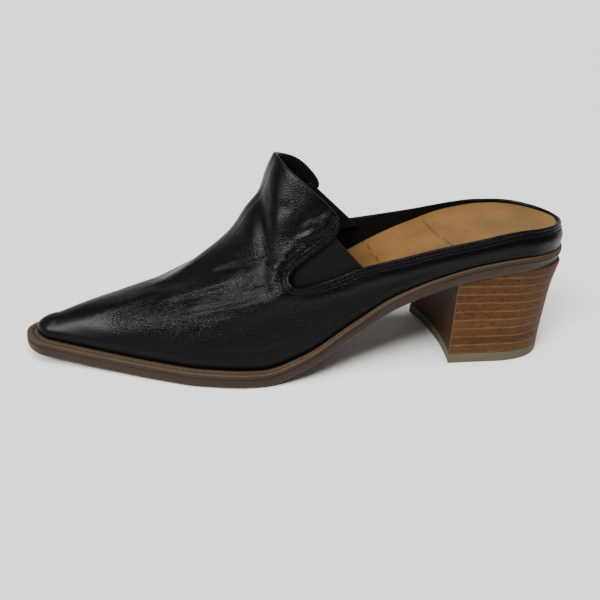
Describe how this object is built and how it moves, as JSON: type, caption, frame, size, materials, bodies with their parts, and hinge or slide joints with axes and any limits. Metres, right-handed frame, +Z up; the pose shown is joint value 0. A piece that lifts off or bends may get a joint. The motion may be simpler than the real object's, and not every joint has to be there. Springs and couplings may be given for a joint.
{
  "type": "mule shoe",
  "caption": "Pointed leather mule with elastic side gussets, open behind the instep, on a stacked block heel; left shoe, standing empty.",
  "frame": {"origin": "on the floor under the middle of the shoe's length and of its width at the ball", "axes": "+X towards the heel, so the toe points along -X; +Y towards the medial side; +Z up"},
  "size_m": [0.2716, 0.0816, 0.0999],
  "materials": {
    "leather_black": "polished, creased smooth leather",
    "elastic_black": "matt ribbed elastic",
    "welt_tan": "waxed edge with a stitch groove",
    "outsole_brown": "satin",
    "stack_brown": "stacked layers, waxed",
    "top_piece_beige": "matt",
    "sock_tan": "smooth sock, lightly worn"
  },
  "bodies": {
    "root": {"outsole": "outsole_brown", "welt": "welt_tan", "heel_stack": "stack_brown", "heel_top_piece": "top_piece_beige", "upper": "leather_black", "gore_lateral": "elastic_black", "gore_medial": "elastic_black", "insole": "sock_tan"}
  },
  "joints": []
}
